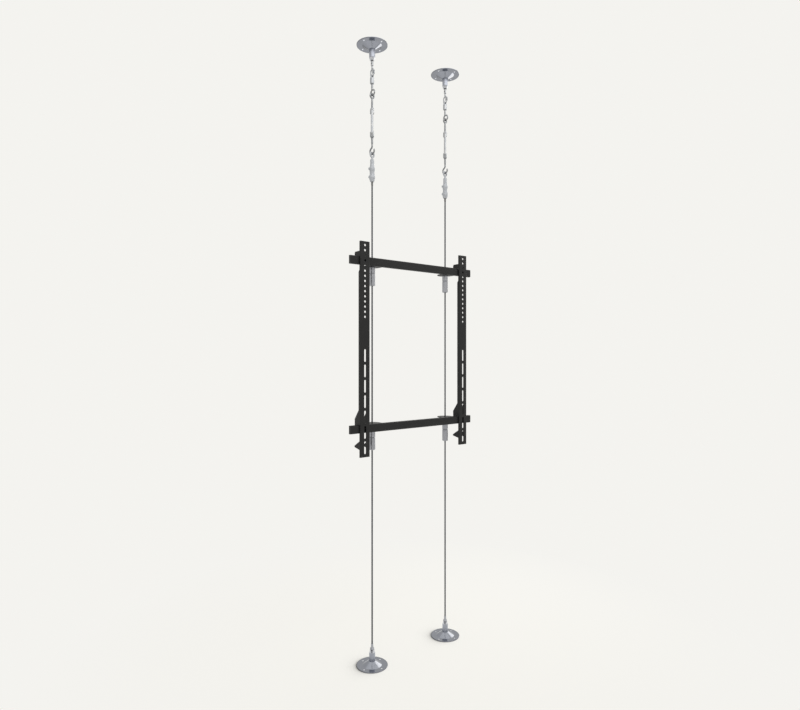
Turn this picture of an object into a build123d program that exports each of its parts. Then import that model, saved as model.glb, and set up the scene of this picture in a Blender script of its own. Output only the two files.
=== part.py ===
from build123d import *
import os
from math import asin, cos, degrees, radians, sin, sqrt

# Floor-to-ceiling cable mount for a screen, in millimetres.
# The origin is on the floor, midway between the two cables. +X runs along the rails,
# -Y faces the screen and +Z points up.

# Span and cables
ceiling_height = 1870.0
cable_spacing = 300.0
cable_radius = 2.5
cable_clearance = 0.3
swage_clearance = 0.04

# Ceiling and floor plates
plate_radius = 47.0
plate_rim = 2.0
plate_edge_round = 0.8
cone_base_radius = 29.5
cone_top_radius = 10.5
cone_height = 14.0
plate_hole_radius = 3.25
plate_hole_circle = 37.0
plate_hole_count = 4
plate_hole_turn = 14.0
spigot_radius = 6.2
spigot_length = 10.0
thread_clearance = 0.05

# Barrels that screw on the plates and hold the ball studs
barrel_radius = 9.0
barrel_length = 33.5
nose_length = 9.0
nose_radius = 6.5
mouth_radius = 5.0
mouth_land = 4.5
notch_depth = 5.0
notch_clearance = 0.25
floor_notch_turn = 225.0
ceiling_notch_turn = 45.0

# Ball studs
ball_radius = 5.6
ball_gap = 0.2
stem_radius = 2.75
stem_reach = 3.5
fork_radius = 3.75
fork_length = 12.0
fork_pin_edge = 4.0
fork_pin_radius = 1.25
tongue_half = 1.4
tongue_clearance = 0.2
tongue_radius = 3.0
pin_clearance = 0.08

# Turns of the hanging hardware about its cable, seen from above
chain_turn = -85.0
frame_turn = -40.0
clamp_turn = -40.0
link_gap = 0.35

# Snap hooks
snap_wire = 2.0
snap_neck = 11.5
snap_bend_drop = 10.0
snap_spine = 9.5
snap_bow = 6.0
snap_nose_rise = 3.5
gate_pivot_reach = 5.6
gate_pivot_drop = 6.5
gate_pin_radius = 0.9
lug_radius = 2.1
gate_sheet = 0.8
gate_gap = 0.25
gate_radius = 2.3
gate_nose_lap = 0.5

# Swivels
bail_wire = 2.0
bail_side_gap = 0.5
bail_head_gap = 1.5
bail_head = 3.0
bail_plug = 3.0
collar_radius = 6.5
collar_wall = 1.5
collar_length = 15.5
collar_lip = 3.0
swivel_shank = 3.0
swivel_head_radius = 4.6
swivel_head = 4.0
swivel_reach = 16.0
swivel_clearance = 0.08
ring_radius = 8.5
ring_wire = 2.25
ring_offset = 2.6

# Turnbuckles
eye_radius = 7.0
eye_wire = 2.5
screw_radius = 3.0
screw_clearance = 0.05
screw_engagement = 30.0
eye_rod_reach = 27.0
frame_length = 90.0
frame_width = 22.0
frame_window = 10.6
frame_half_thickness = 3.3
frame_end_inset = 5.0
frame_yoke = 12.0
frame_round = 8.0
frame_bar_round = 2.6
boss_radius = 6.5
boss_tip_radius = 4.6
boss_length = 19.0
boss_taper = 5.0
hook_bow = 9.5
hook_wire = 2.5
hook_bend = 8.0
hook_tip = 5.0
hook_rod_reach = 24.4
hook_neck_taper = 4.0

# Cable end clamps
clamp_neck_radius = 3.0
clamp_neck = 14.5
clamp_length = 67.0
clamp_top_radius = 6.0
clamp_bulge_radius = 8.8
clamp_waist_radius = 7.2
clamp_tip_radius = 6.0
clamp_tip_round = 1.5
clamp_collar = 14.0
clamp_bulge_drop = 27.0
clamp_bulge_pitch = 25.0
clamp_socket = 56.0
clamp_screw_radius = 2.5
clamp_screw_head_radius = 3.4
clamp_screw_head = 2.2
clamp_screw_socket = 2.5
boot_length = 11.0
boot_top_radius = 3.3
boot_tip_radius = 2.9

# Floor terminals
terminal_collar_radius = 6.4
terminal_collar = 4.5
terminal_gap = 0.4
terminal_sleeve = 13.0
terminal_base_radius = 4.0
terminal_tip_radius = 3.1
terminal_socket = 14.0

# Rails
lower_rail_height = 718.0
rail_spacing = 494.0
rail_length = 488.0
rail_height = 24.5
rail_depth = 9.5
rail_wall = 2.0
rail_bend = 2.5
rail_setback = 25.0
ear_radius = 26.0

# Cable grippers under the rails
gripper_radius = 9.5
gripper_chamfer = 0.8
gripper_cap = 18.5
gripper_groove = 1.0
gripper_body = 37.0
gripper_thread_radius = 6.5
gripper_thread_length = 13.0
gripper_roof = 4.0
collet_top_radius = 4.9
collet_tip_radius = 3.4
collet_length = 22.0
collet_seat_gap = 0.1
collet_slit = 0.8
collet_slits = 3
tommy_radius = 1.6
tommy_depth = 2.6
tommy_drop = 5.0
tommy_turn = 210.0

# Hook-on brackets
bracket_spacing = 400.0
bracket_shift = 3.0
bracket_width = 34.0
bracket_top_rise = 43.5
bracket_tail = 94.5
bracket_wall = 2.5
bracket_bend = 2.5
flange_depth = 10.0
flange_shallow = 5.5
seat_gap = 0.3
hook_depth = 30.0
hook_height = 14.5
hook_corner = 3.0
lip_length = 9.0
lip_gap = 1.0
recess_height = 47.0
recess_slope = 7.0
gusset_height = 16.5
gusset_slope = 27.0
catch_depth = 31.0
catch_fall = 15.5
catch_tip = 4.0
catch_return = 5.5
screw_hole_radius = 3.5
screw_hole_pitch = 15.0
screw_hole_count = 15
screw_hole_edge = 11.0
slot_length = 37.5
slot_width = 7.0
slot_pitch = 45.0
slot_count = 7
slot_tail = 9.0


# Places that follow from the sizes above
cable_x = {"left": -cable_spacing / 2, "right": cable_spacing / 2}
bracket_x = {"left": bracket_shift - bracket_spacing / 2, "right": bracket_shift + bracket_spacing / 2}
rail_z = {"upper": lower_rail_height + rail_spacing, "lower": lower_rail_height}
rail_front = -rail_setback
rail_rear = rail_front + rail_depth
bracket_top_z = rail_z["upper"] + rail_height / 2 + bracket_top_rise
bracket_bottom_z = rail_z["lower"] + rail_height / 2 - bracket_tail

barrel_bore = spigot_radius + thread_clearance
barrel_tip = cone_height + barrel_length
seat_start = barrel_tip - mouth_land - (barrel_bore - mouth_radius)
ball_height = seat_start + barrel_bore - (ball_radius + ball_gap) * sqrt(2.0)
notch_half = stem_radius + notch_clearance

fork_top_z = ceiling_height - barrel_tip - stem_reach
fork_tip_z = fork_top_z - fork_length
fork_pin_z = fork_tip_z + fork_pin_edge

snap_bend_z = fork_pin_z - snap_neck
snap_spine_z = snap_bend_z - snap_bend_drop
snap_bow_z = snap_spine_z - snap_spine
snap_bottom_z = snap_bow_z - snap_bow
snap_nose_z = snap_bow_z + snap_nose_rise
gate_pivot_z = snap_bend_z - gate_pivot_drop

bail_half = snap_wire + bail_side_gap + bail_wire
bail_top_z = snap_bottom_z + snap_wire + link_gap + bail_wire
bail_arc_z = bail_top_z - bail_half
bail_head_z = snap_bottom_z - snap_wire - bail_head_gap
collar_top_z = bail_head_z - bail_head
collar_bottom_z = collar_top_z - collar_length
ring_z = collar_bottom_z - swivel_reach - ring_radius - ring_wire

eye_nest = ring_radius - ring_wire - eye_wire - link_gap
eye_top_z = ring_z - sqrt(eye_nest**2 - ring_offset**2)
eye_z = eye_top_z - eye_radius
frame_top_z = eye_z - eye_radius - eye_wire - eye_rod_reach
frame_bottom_z = frame_top_z - frame_length

hook_bend_z = frame_bottom_z - hook_rod_reach
hook_bow_z = hook_bend_z - sqrt(hook_bow**2 + 2.0 * hook_bow * hook_bend)
clamp_eye_z = hook_bow_z - (hook_bow - hook_wire - eye_wire - link_gap) - eye_radius
clamp_top_z = clamp_eye_z - clamp_neck
clamp_tip_z = clamp_top_z - clamp_length
clamp_screw_z = [clamp_top_z - clamp_bulge_drop, clamp_top_z - clamp_bulge_drop - clamp_bulge_pitch]
boot_tip_z = clamp_tip_z - boot_length
cable_bore = cable_radius + swage_clearance

terminal_collar_z = barrel_tip + terminal_gap
terminal_sleeve_z = terminal_collar_z + terminal_collar
terminal_tip_z = terminal_sleeve_z + terminal_sleeve
cable_bottom_z = terminal_tip_z - terminal_socket
cable_top_z = clamp_tip_z + clamp_socket


def upright_axis(x):
    return Axis((x, 0, 0), (0, 0, 1))


def floor_section(x):
    # Half section of a turned piece that rises from the floor: radius and height
    return Plane(origin=(x, 0, 0), x_dir=(1, 0, 0), z_dir=(0, -1, 0))


def ceiling_section(x):
    # Half section of a turned piece that hangs from the ceiling: radius and drop
    return Plane(origin=(x, 0, ceiling_height), x_dir=(1, 0, 0), z_dir=(0, 1, 0))


def radial_plane(x, z, turn):
    # Upright plane through a cable, facing the given direction
    facing = (cos(radians(turn)), sin(radians(turn)), 0)
    return Plane(origin=(x, 0, z), x_dir=(-facing[1], facing[0], 0), z_dir=facing)


def hook_plane(x, z=0.0):
    # Upright plane that the hooks and rings lie in
    return radial_plane(x, z, chain_turn - 90)


def eye_plane(x, z=0.0):
    # Upright plane square to the hooks, which the linked eyes lie in
    return radial_plane(x, z, chain_turn)


def build_plate(x, section, face_z):
    # Turned flange: flat rim with screw holes, a cone and a threaded spigot
    with BuildPart() as plate:
        with BuildSketch(section):
            with BuildLine():
                Polyline(
                    (0, 0),
                    (plate_radius, 0),
                    (plate_radius, plate_rim),
                    (cone_base_radius, plate_rim),
                    (cone_top_radius, cone_height),
                    (spigot_radius, cone_height),
                    (spigot_radius, cone_height + spigot_length),
                    (0, cone_height + spigot_length),
                    close=True,
                )
            make_face()
        revolve(axis=upright_axis(x))
        rim = plate.edges().filter_by(GeomType.CIRCLE).group_by(SortBy.RADIUS)[-1]
        fillet(rim.sort_by(lambda edge: abs(edge.center().Z - face_z))[-1], plate_edge_round)
        with BuildSketch(Plane(origin=(x, 0, face_z))):
            with PolarLocations(plate_hole_circle, plate_hole_count, start_angle=plate_hole_turn):
                Circle(plate_hole_radius)
        extrude(amount=plate_rim, both=True, mode=Mode.SUBTRACT)
    return plate.part


def build_barrel(x, section, notch_plane):
    # Sleeve with a tapered nose, a conical ball seat and a notch on one side of the mouth
    nose_start = barrel_tip - nose_length
    with BuildPart() as barrel:
        with BuildSketch(section):
            with BuildLine():
                Polyline(
                    (barrel_bore, cone_height),
                    (barrel_radius, cone_height),
                    (barrel_radius, nose_start),
                    (nose_radius, barrel_tip),
                    (mouth_radius, barrel_tip),
                    (mouth_radius, barrel_tip - mouth_land),
                    (barrel_bore, seat_start),
                    close=True,
                )
            make_face()
        revolve(axis=upright_axis(x))
        shoulder = barrel.edges().filter_by(GeomType.CIRCLE).group_by(SortBy.RADIUS)[-1]
        fillet(shoulder.sort_by(lambda edge: abs(edge.center().Z - notch_plane.origin.Z))[0], nose_length / 3)
        with BuildSketch(notch_plane):
            SlotCenterToCenter(2 * notch_depth, 2 * notch_half, rotation=90)
        extrude(amount=barrel_radius + plate_rim, mode=Mode.SUBTRACT)
    return barrel.part


def build_ceiling_stud(x):
    # Ball stud that hangs in the ceiling barrel and ends in a fork
    ball_z = ceiling_height - ball_height
    stem_angle = degrees(asin(stem_radius / ball_radius))
    with BuildPart() as stud:
        with BuildSketch(floor_section(x)):
            with BuildLine():
                ball = CenterArc((0, ball_z), ball_radius, 90, stem_angle - 180)
                Polyline(
                    ball @ 1,
                    (stem_radius, fork_top_z),
                    (fork_radius, fork_top_z - (fork_radius - stem_radius)),
                    (fork_radius, fork_tip_z),
                    (0, fork_tip_z),
                    ball @ 0,
                )
            make_face()
        revolve(axis=upright_axis(x))
        slot_half = tongue_half + tongue_clearance
        slot_top = fork_pin_z + tongue_radius + tongue_clearance
        with BuildSketch(hook_plane(x, fork_tip_z)):
            Rectangle(2 * slot_half, slot_top - fork_tip_z, align=(Align.CENTER, Align.MIN))
        extrude(amount=fork_radius + 1, both=True, mode=Mode.SUBTRACT)
        with BuildSketch(eye_plane(x, fork_pin_z)):
            Circle(fork_pin_radius)
        extrude(amount=fork_radius + 1, both=True, mode=Mode.SUBTRACT)
    return stud.part


def build_snap_hook(x):
    # Bent hook with a tongue for the fork above and a lug that carries the gate
    bend_radius = (snap_bow**2 + snap_bend_drop**2) / (4 * snap_bow)
    bend_angle = degrees(asin(snap_bend_drop / (2 * bend_radius)))
    nose_place = hook_plane(x).from_local_coords(Vector(snap_bow, snap_nose_z, 0))
    with BuildPart() as hook:
        with BuildLine(hook_plane(x)) as path:
            Line((0, fork_tip_z - link_gap), (0, snap_bend_z))
            CenterArc((-bend_radius, snap_bend_z), bend_radius, 0, -bend_angle)
            CenterArc((bend_radius - snap_bow, snap_spine_z), bend_radius, 180 - bend_angle, bend_angle)
            Line((-snap_bow, snap_spine_z), (-snap_bow, snap_bow_z))
            CenterArc((0, snap_bow_z), snap_bow, 180, 180)
            Line((snap_bow, snap_bow_z), (snap_bow, snap_nose_z))
        with BuildSketch(Plane(origin=(x, 0, fork_tip_z - link_gap))):
            Circle(snap_wire)
        sweep()
        ends = hook.edges().filter_by(GeomType.CIRCLE)
        fillet(ends.sort_by(lambda edge: (edge.arc_center - nose_place).length)[0], snap_wire * 0.6)
        with BuildSketch(hook_plane(x)):
            with Locations((0, snap_bend_z), (gate_pivot_reach, gate_pivot_z)):
                Circle(lug_radius)
            make_hull()
        extrude(amount=snap_wire, both=True)
        with BuildSketch(hook_plane(x)):
            with Locations((gate_pivot_reach, gate_pivot_z)):
                Circle(gate_pin_radius)
        extrude(amount=2 * snap_wire, both=True, mode=Mode.SUBTRACT)
        with BuildSketch(eye_plane(x, fork_pin_z)):
            Circle(tongue_radius)
            Rectangle(2 * tongue_radius, fork_pin_edge + tongue_radius, align=(Align.CENTER, Align.MAX))
            Circle(fork_pin_radius + pin_clearance, mode=Mode.SUBTRACT)
        extrude(amount=tongue_half, both=True)
    return hook.part


def build_snap_gate(x):
    # Folded gate: two cheeks on the lug and the nose, joined by a web on the inside
    cheek_face = snap_wire + gate_gap
    web_inner = snap_bow - snap_wire - gate_gap
    gate_tip_z = snap_nose_z - gate_nose_lap
    web_top_z = gate_pivot_z - lug_radius - gate_radius / 2
    with BuildPart() as gate:
        for side in (1, -1):
            with BuildSketch(hook_plane(x).offset(side * cheek_face)):
                with Locations((gate_pivot_reach, gate_pivot_z), (gate_pivot_reach, gate_tip_z)):
                    Circle(gate_radius)
                make_hull()
                with Locations((gate_pivot_reach, gate_pivot_z)):
                    Circle(gate_pin_radius + pin_clearance, mode=Mode.SUBTRACT)
            extrude(amount=side * gate_sheet)
        with BuildSketch(hook_plane(x)):
            with Locations((web_inner, gate_tip_z)):
                Rectangle(gate_sheet, web_top_z - gate_tip_z, align=(Align.MAX, Align.MIN))
        extrude(amount=cheek_face + gate_sheet, both=True)
    return gate.part


def build_pins(reach, z, plane_of, radius, half_length):
    # One plain pin on each cable
    with BuildPart() as pins:
        for x in cable_x.values():
            with BuildSketch(plane_of(x, z)):
                with Locations((reach, 0)):
                    Circle(radius)
            extrude(amount=half_length, both=True)
    return pins.part


def build_swivel_bail(x):
    # Bent bail on a round head that plugs the swivel collar
    with BuildPart() as bail:
        with BuildLine(eye_plane(x)):
            Line((bail_half, bail_head_z - bail_head / 2), (bail_half, bail_arc_z))
            CenterArc((0, bail_arc_z), bail_half, 0, 180)
            Line((-bail_half, bail_arc_z), (-bail_half, bail_head_z - bail_head / 2))
        with BuildSketch(Plane.XY.offset(bail_head_z - bail_head / 2)):
            with Locations(eye_plane(x).from_local_coords(Vector(bail_half, 0, 0))):
                Circle(bail_wire)
        sweep()
        with BuildSketch(floor_section(x)):
            with BuildLine():
                Polyline(
                    (0, bail_head_z),
                    (collar_radius - collar_wall / 2, bail_head_z),
                    (collar_radius, bail_head_z - collar_wall / 2),
                    (collar_radius, collar_top_z),
                    (collar_radius - collar_wall, collar_top_z),
                    (collar_radius - collar_wall, collar_top_z - bail_plug),
                    (0, collar_top_z - bail_plug),
                    close=True,
                )
            make_face()
        revolve(axis=upright_axis(x))
    return bail.part


def build_swivel_collar(x):
    # Hollow collar with an inner lip that the ring's headed shank hangs in
    with BuildPart() as collar:
        with BuildSketch(floor_section(x)):
            with BuildLine():
                Polyline(
                    (collar_radius - collar_wall, collar_top_z),
                    (collar_radius, collar_top_z),
                    (collar_radius, collar_bottom_z + collar_wall),
                    (collar_radius - collar_wall, collar_bottom_z),
                    (swivel_shank + swivel_clearance, collar_bottom_z),
                    (swivel_shank + swivel_clearance, collar_bottom_z + collar_lip),
                    (collar_radius - collar_wall, collar_bottom_z + collar_lip),
                    close=True,
                )
            make_face()
        revolve(axis=upright_axis(x))
    return collar.part


def build_swivel_ring(x):
    # Headed shank that turns in the collar and ends in a ring
    head_z = collar_bottom_z + collar_lip + link_gap
    with BuildPart() as ring:
        with BuildSketch(floor_section(x)):
            with BuildLine():
                Polyline(
                    (0, head_z + swivel_head),
                    (swivel_head_radius, head_z + swivel_head),
                    (swivel_head_radius, head_z),
                    (swivel_shank, head_z),
                    (swivel_shank, ring_z + ring_radius),
                    (0, ring_z + ring_radius),
                    close=True,
                )
            make_face()
        revolve(axis=upright_axis(x))
        with Locations(Location(hook_plane(x, ring_z)) * Location((ring_offset, 0, 0))):
            Torus(ring_radius, ring_wire)
    return ring.part


def build_turnbuckle_eye(x):
    # Upper screw of the turnbuckle with a closed eye
    eye_bottom_z = eye_z - eye_radius
    with BuildPart() as eye:
        with BuildSketch(floor_section(x)):
            with BuildLine():
                Polyline(
                    (0, eye_bottom_z),
                    (eye_wire * 0.9, eye_bottom_z),
                    (screw_radius, eye_bottom_z - hook_neck_taper),
                    (screw_radius, frame_top_z - screw_engagement),
                    (0, frame_top_z - screw_engagement),
                    close=True,
                )
            make_face()
        revolve(axis=upright_axis(x))
        with Locations(Location(eye_plane(x, eye_z))):
            Torus(eye_radius, eye_wire)
    return eye.part


def build_turnbuckle_frame(x):
    # Open frame: two side bars between tapered, threaded bosses
    middle_z = (frame_top_z + frame_bottom_z) / 2
    bar_length = frame_length - 2 * frame_end_inset
    with BuildPart() as frame:
        with BuildSketch(radial_plane(x, middle_z, frame_turn)):
            RectangleRounded(frame_width, bar_length, frame_round)
            RectangleRounded(frame_window, bar_length - 2 * frame_yoke, frame_window * 0.4, mode=Mode.SUBTRACT)
        extrude(amount=frame_half_thickness, both=True)
        fillet(frame.edges().filter_by(Axis.Z), frame_bar_round)
        for outer_z, inward in ((frame_top_z, -1), (frame_bottom_z, 1)):
            with BuildSketch(floor_section(x)):
                with BuildLine():
                    Polyline(
                        (0, outer_z),
                        (boss_tip_radius, outer_z),
                        (boss_radius, outer_z + inward * boss_taper),
                        (boss_radius, outer_z + inward * (boss_length - boss_taper / 2)),
                        (boss_tip_radius, outer_z + inward * boss_length),
                        (0, outer_z + inward * boss_length),
                        close=True,
                    )
                make_face()
            revolve(axis=upright_axis(x))
        with BuildSketch(Plane(origin=(x, 0, middle_z))):
            Circle(screw_radius + screw_clearance)
        extrude(amount=frame_length, both=True, mode=Mode.SUBTRACT)
    return frame.part


def build_turnbuckle_hook(x):
    # Lower screw of the turnbuckle, set back by a bend and curled into an open hook
    bend_angle = degrees(asin((hook_bend_z - hook_bow_z) / (hook_bow + hook_bend)))
    tip_place = hook_plane(x).from_local_coords(Vector(hook_bow, hook_bow_z + hook_tip, 0))
    with BuildPart() as hook:
        with BuildLine(hook_plane(x)):
            Line((0, hook_bend_z + hook_neck_taper), (0, hook_bend_z))
            CenterArc((-hook_bend, hook_bend_z), hook_bend, 0, -bend_angle)
            CenterArc((0, hook_bow_z), hook_bow, 180 - bend_angle, 180 + bend_angle)
            Line((hook_bow, hook_bow_z), (hook_bow, hook_bow_z + hook_tip))
        with BuildSketch(Plane(origin=(x, 0, hook_bend_z + hook_neck_taper))):
            Circle(hook_wire)
        sweep()
        ends = hook.edges().filter_by(GeomType.CIRCLE)
        fillet(ends.sort_by(lambda edge: (edge.arc_center - tip_place).length)[0], hook_wire * 0.6)
        with BuildSketch(floor_section(x)):
            with BuildLine():
                Polyline(
                    (0, frame_bottom_z + screw_engagement),
                    (screw_radius, frame_bottom_z + screw_engagement),
                    (screw_radius, hook_bend_z + 2 * hook_neck_taper),
                    (hook_wire, hook_bend_z + hook_neck_taper),
                    (0, hook_bend_z + hook_neck_taper),
                    close=True,
                )
            make_face()
        revolve(axis=upright_axis(x))
    return hook.part


def build_end_clamp(x):
    # Eye, neck and waisted clamp body with a blind bore for the cable and two seated screw holes
    bulge_z, low_bulge_z = clamp_screw_z
    with BuildPart() as clamp:
        with BuildSketch(floor_section(x)):
            with BuildLine():
                Polyline(
                    (clamp_tip_radius, clamp_tip_z),
                    (0, clamp_tip_z),
                    (0, clamp_eye_z - eye_radius),
                    (clamp_neck_radius, clamp_eye_z - eye_radius),
                    (clamp_neck_radius, clamp_top_z),
                    (clamp_top_radius - link_gap, clamp_top_z),
                    (clamp_top_radius, clamp_top_z - 2 * link_gap),
                    (clamp_top_radius, clamp_top_z - clamp_collar),
                )
                Spline(
                    (clamp_top_radius, clamp_top_z - clamp_collar),
                    (clamp_bulge_radius, bulge_z),
                    (clamp_waist_radius, (bulge_z + low_bulge_z) / 2),
                    (clamp_bulge_radius, low_bulge_z),
                    (clamp_tip_radius, clamp_tip_z),
                    tangents=((0, -1), (-0.3, -1)),
                )
            make_face()
        revolve(axis=upright_axis(x))
        fillet(clamp.edges().filter_by(GeomType.CIRCLE).sort_by(Axis.Z)[0], clamp_tip_round)
        with Locations(Location(eye_plane(x, clamp_eye_z))):
            Torus(eye_radius, eye_wire)
        with BuildSketch(Plane(origin=(x, 0, clamp_tip_z))):
            Circle(cable_bore)
        extrude(amount=clamp_socket, mode=Mode.SUBTRACT)
        upright = radial_plane(x, 0, clamp_turn)
        with BuildSketch(upright):
            with Locations((0, bulge_z), (0, low_bulge_z)):
                Circle(clamp_screw_radius)
        extrude(amount=-2 * clamp_bulge_radius, mode=Mode.SUBTRACT)
        with BuildSketch(upright.offset(-clamp_bulge_radius)):
            with Locations((0, bulge_z), (0, low_bulge_z)):
                Circle(clamp_screw_head_radius + swage_clearance)
        extrude(amount=-clamp_screw_head, mode=Mode.SUBTRACT)
    return clamp.part


def build_clamp_screws():
    # Four headed screws that press on the cables, two in each clamp
    with BuildPart() as screws:
        for x in cable_x.values():
            for z in clamp_screw_z:
                upright = radial_plane(x, z, clamp_turn)
                with BuildSketch(upright.offset(-cable_radius - swage_clearance)):
                    Circle(clamp_screw_radius - swage_clearance)
                extrude(amount=cable_radius - clamp_bulge_radius)
                with BuildSketch(upright.offset(-clamp_bulge_radius)):
                    Circle(clamp_screw_head_radius)
                extrude(amount=-clamp_screw_head)
                with BuildSketch(upright.offset(-clamp_bulge_radius - clamp_screw_head)):
                    RegularPolygon(clamp_screw_socket / 2, 6, major_radius=False)
                extrude(amount=clamp_screw_head * 0.75, mode=Mode.SUBTRACT)
    return screws.part


def build_clamp_boot(x):
    # Tapered sleeve on the cable below the clamp
    with BuildPart() as boot:
        with BuildSketch(floor_section(x)):
            with BuildLine():
                Polyline(
                    (cable_bore, clamp_tip_z),
                    (boot_top_radius, clamp_tip_z),
                    (boot_tip_radius, boot_tip_z),
                    (cable_bore, boot_tip_z),
                    close=True,
                )
            make_face()
        revolve(axis=upright_axis(x))
    return boot.part


def build_cable(x):
    # Taut cable from the end clamp to the floor terminal
    with BuildPart() as cable:
        with BuildSketch(Plane(origin=(x, 0, cable_bottom_z))):
            Circle(cable_radius)
        extrude(amount=cable_top_z - cable_bottom_z)
    return cable.part


def build_floor_terminal(x):
    # Ball stud in the floor barrel with a collar and a swaged sleeve for the cable
    stem_angle = degrees(asin(stem_radius / ball_radius))
    with BuildPart() as terminal:
        with BuildSketch(floor_section(x)):
            with BuildLine():
                ball = CenterArc((0, ball_height), ball_radius, -90, 180 - stem_angle)
                Polyline(
                    ball @ 1,
                    (stem_radius, terminal_collar_z),
                    (terminal_collar_radius, terminal_collar_z),
                    (terminal_collar_radius, terminal_sleeve_z),
                    (terminal_base_radius, terminal_sleeve_z),
                    (terminal_tip_radius, terminal_tip_z),
                    (0, terminal_tip_z),
                    ball @ 0,
                )
            make_face()
        revolve(axis=upright_axis(x))
        collar = terminal.edges().filter_by(GeomType.CIRCLE).group_by(SortBy.RADIUS)[-1]
        chamfer(collar, terminal_collar * 0.2)
        with BuildSketch(Plane(origin=(x, 0, cable_bottom_z))):
            Circle(cable_bore)
        extrude(amount=terminal_socket, mode=Mode.SUBTRACT)
    return terminal.part


def build_rail(z):
    # Folded channel, open to the rear, with end tabs and a round-ended ear on each flange at each cable
    top_z = z + rail_height / 2
    bottom_z = z - rail_height / 2
    ear_base = rail_front + rail_wall
    with BuildPart() as rail:
        with BuildSketch(Plane.YZ):
            with BuildLine():
                Polyline(
                    (rail_front, bottom_z),
                    (rail_rear, bottom_z),
                    (rail_rear, bottom_z + rail_wall),
                    (rail_front + rail_wall, bottom_z + rail_wall),
                    (rail_front + rail_wall, top_z - rail_wall),
                    (rail_rear, top_z - rail_wall),
                    (rail_rear, top_z),
                    (rail_front, top_z),
                    close=True,
                )
            make_face()
        extrude(amount=rail_length / 2, both=True)
        for end in (-1, 1):
            with BuildSketch(Plane.YZ.offset(end * rail_length / 2)):
                with Locations((rail_front, z)):
                    Rectangle(rail_depth, rail_height, align=(Align.MIN, Align.CENTER))
            extrude(amount=-end * rail_wall)
        fillet(rail.edges().filter_by(Axis.X).group_by(Axis.Y)[0], rail_bend)
        for ear_z in (bottom_z, top_z - rail_wall):
            for x in cable_x.values():
                with BuildSketch(Plane(origin=(x, 0, ear_z))):
                    with BuildLine():
                        Polyline((ear_radius, 0), (ear_radius, ear_base), (-ear_radius, ear_base), (-ear_radius, 0))
                        CenterArc((0, 0), ear_radius, 0, 180)
                    make_face()
                extrude(amount=rail_wall)
        with BuildSketch(Plane.XY.offset(z)):
            with Locations(*[(x, 0) for x in cable_x.values()]):
                Circle(cable_radius + cable_clearance)
        extrude(amount=rail_height, both=True, mode=Mode.SUBTRACT)
    return rail.part


def build_gripper_cap(x, top_z):
    # Threaded cap that the cable passes through
    bottom_z = top_z - gripper_cap
    bore = gripper_thread_radius + thread_clearance
    with BuildPart() as cap:
        with BuildSketch(floor_section(x)):
            with BuildLine():
                Polyline(
                    (cable_radius + cable_clearance, top_z),
                    (gripper_radius - gripper_chamfer, top_z),
                    (gripper_radius, top_z - gripper_chamfer),
                    (gripper_radius, bottom_z + gripper_chamfer),
                    (gripper_radius - gripper_chamfer, bottom_z),
                    (bore, bottom_z),
                    (bore, top_z - gripper_roof),
                    (cable_radius + cable_clearance, top_z - gripper_roof),
                    close=True,
                )
            make_face()
        revolve(axis=upright_axis(x))
    return cap.part


def build_gripper_body(x, top_z):
    # Body with a threaded spigot, a tapered collet seat and a small tommy-bar hole
    shoulder_z = top_z - gripper_cap - gripper_groove
    spigot_z = shoulder_z + gripper_thread_length
    bottom_z = shoulder_z - gripper_body
    seat_z = spigot_z - collet_length
    with BuildPart() as body:
        with BuildSketch(floor_section(x)):
            with BuildLine():
                Polyline(
                    (collet_top_radius + collet_seat_gap, spigot_z),
                    (gripper_thread_radius, spigot_z),
                    (gripper_thread_radius, shoulder_z),
                    (gripper_radius - gripper_chamfer, shoulder_z),
                    (gripper_radius, shoulder_z - gripper_chamfer),
                    (gripper_radius, bottom_z + 2 * gripper_chamfer),
                    (gripper_radius - 2 * gripper_chamfer, bottom_z),
                    (cable_radius + cable_clearance, bottom_z),
                    (cable_radius + cable_clearance, seat_z),
                    (collet_tip_radius + collet_seat_gap, seat_z),
                    close=True,
                )
            make_face()
        revolve(axis=upright_axis(x))
        with BuildSketch(radial_plane(x, shoulder_z - tommy_drop, tommy_turn).offset(gripper_radius - tommy_depth)):
            Circle(tommy_radius)
        extrude(amount=gripper_radius, mode=Mode.SUBTRACT)
    return body.part


def build_collet(x, top_z):
    # Slit cone that the cap presses on the cable
    collet_top_z = top_z - gripper_cap - gripper_groove + gripper_thread_length
    collet_tip_z = collet_top_z - collet_length + collet_seat_gap
    with BuildPart() as collet:
        with BuildSketch(floor_section(x)):
            with BuildLine():
                Polyline(
                    (cable_radius + swage_clearance, collet_top_z),
                    (collet_top_radius, collet_top_z),
                    (collet_tip_radius, collet_tip_z),
                    (cable_radius + swage_clearance, collet_tip_z),
                    close=True,
                )
            make_face()
        revolve(axis=upright_axis(x))
        with BuildSketch(Plane(origin=(x, 0, collet_tip_z))):
            with PolarLocations(0, collet_slits):
                Rectangle(collet_top_radius + 1, collet_slit, align=(Align.MIN, Align.CENTER))
        extrude(amount=collet_length * 0.75, mode=Mode.SUBTRACT)
    return collet.part


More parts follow.
